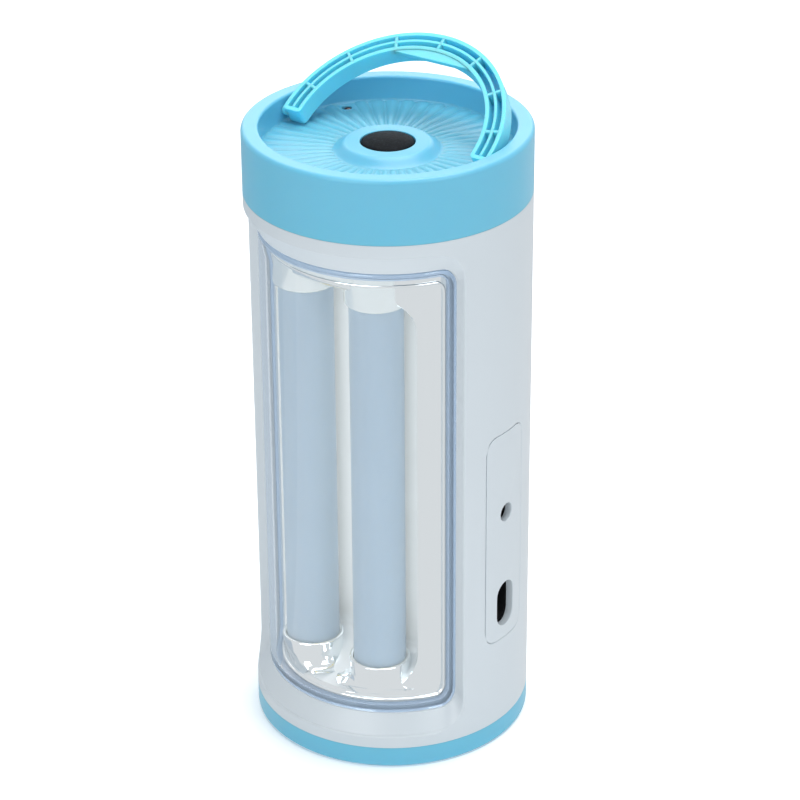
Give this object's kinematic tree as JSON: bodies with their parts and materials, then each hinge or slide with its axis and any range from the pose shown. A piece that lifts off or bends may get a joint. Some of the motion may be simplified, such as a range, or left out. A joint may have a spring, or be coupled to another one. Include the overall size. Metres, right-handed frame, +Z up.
{
  "type": "camping lantern",
  "caption": "White and sky-blue cylindrical camping lantern with a curved clear window over frosted light tubes, a ribbed swing handle and a push button on top.",
  "frame": {"origin": "centre of the base, on the surface it stands on", "axes": "+Z up along the body, -Y out of the window, +X out of the socket panel"},
  "size_m": [0.09, 0.09, 0.2247],
  "materials": {
    "white_shell": "smooth white moulded plastic",
    "blue_plastic": "smooth sky-blue moulded plastic",
    "handle_blue": "smooth pale blue moulded plastic",
    "black_rubber": "matte black rubber",
    "black_plastic": "matte black plastic",
    "circuit_board": "green circuit board",
    "strip_board": "white circuit board",
    "plated_screw": "zinc-plated steel",
    "red_lens": "tinted clear resin",
    "clear_lens": "clear moulded plastic",
    "chrome_plating": "bright vacuum-plated plastic",
    "frosted_tube": "frosted translucent plastic",
    "light_chip": "yellow phosphor under clear resin",
    "white_plug": "matte white plastic",
    "plated_pin": "plated brass",
    "capacitor_can": "sleeved capacitor",
    "battery_case": "matte dark plastic case",
    "foam_pad": "soft closed-cell foam"
  },
  "bodies": {
    "lantern": {"ac_inlet": "black_plastic", "ac_inlet_pins": "plated_pin", "base_cap": "blue_plastic", "base_screws": "plated_screw", "battery": "battery_case", "battery_pad": "foam_pad", "battery_terminals": "plated_pin", "board_capacitors": "capacitor_can", "board_diodes": "black_plastic", "board_screws": "plated_screw", "dc_jack": "black_plastic", "dc_jack_pin": "plated_pin", "indicator_led": "red_lens", "led_chips_left": "light_chip", "led_chips_right": "light_chip", "led_strip_left": "strip_board", "led_strip_right": "strip_board", "lens_cover": "clear_lens", "main_board": "circuit_board", "main_housing": "white_shell", "port_panel": "white_shell", "reflector": "chrome_plating", "reflector_screws": "plated_screw", "switch_board": "circuit_board", "switch_board_screws": "plated_screw", "switch_body": "black_plastic", "top_cap": "blue_plastic", "tube_diffuser_left": "frosted_tube", "tube_diffuser_right": "frosted_tube", "tube_end_caps": "white_plug"},
    "handle": {"carry_handle": "handle_blue"},
    "button": {"button_cap": "black_rubber", "switch_plunger": "black_plastic"}
  },
  "joints": [
    {"name": "handle_swing", "type": "hinge", "parent": "lantern", "child": "handle", "pos_m": [0, 0, 0.2015], "axis": [1, 0, 0], "range_deg": [-32, 148]},
    {"name": "button_press", "type": "slide", "parent": "lantern", "child": "button", "axis": [0, 0, 1], "range_m": [-0.0015, 0], "stiffness_N_per_m": 1200}
  ]
}
